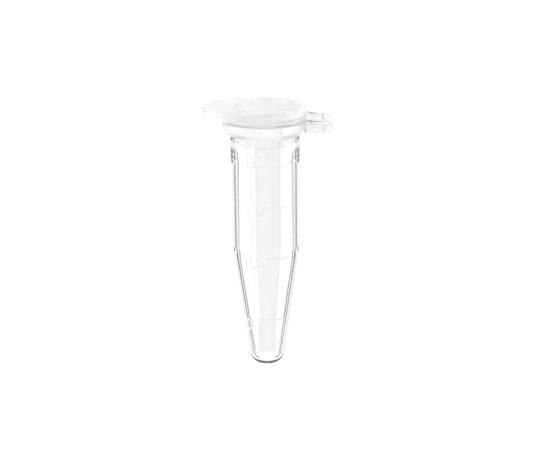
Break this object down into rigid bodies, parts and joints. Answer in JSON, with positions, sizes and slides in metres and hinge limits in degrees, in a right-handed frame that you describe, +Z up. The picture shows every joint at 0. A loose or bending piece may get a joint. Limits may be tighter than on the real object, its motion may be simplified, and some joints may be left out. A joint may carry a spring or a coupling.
{
  "type": "microcentrifuge tube",
  "caption": "Clear conical microcentrifuge tube with a graduated wall and an attached snap cap on a living hinge, for holding and spinning small liquid samples.",
  "frame": {"origin": "on the tube's axis, in the plane of the rim flange's underside, where a rack holds the tube", "axes": "+Z up along the tube's axis, towards the lid; the hinge is towards +X and the thumb tab towards -X; the graduations face -Y"},
  "size_m": [0.0207, 0.0132, 0.0415],
  "materials": {
    "clear_wall": "clear natural polypropylene, polished mould face",
    "clear_rim": "natural polypropylene, hazier where it is thick",
    "raised_marks": "frosted raised marks of the same polypropylene",
    "hazy_strap": "hazy natural polypropylene strap",
    "hazy_lid": "hazy natural polypropylene, satin",
    "frosted_disc": "frosted polypropylene field in the lid's recess",
    "clear_plug": "translucent polypropylene, smooth sealing face"
  },
  "bodies": {
    "tube": {"tube_body": "clear_wall", "rim_flange": "clear_rim", "tube_hinge_arm": "hazy_strap", "graduation_lines": "raised_marks", "graduation_numerals": "raised_marks", "living_hinge": "hazy_strap"},
    "lid": {"lid_plate": "hazy_lid", "thumb_tab": "hazy_lid", "lid_disc": "frosted_disc", "lid_skirt": "hazy_lid", "lid_hinge_arm": "hazy_strap", "sealing_plug": "clear_plug", "sealing_bead": "clear_plug"}
  },
  "joints": [
    {"name": "lid_hinge", "type": "hinge", "parent": "tube", "child": "lid", "pos_m": [0.0099, 0, 0.0016], "axis": [0, 1, 0], "range_deg": [0, 180], "deforming": ["living_hinge"]}
  ]
}
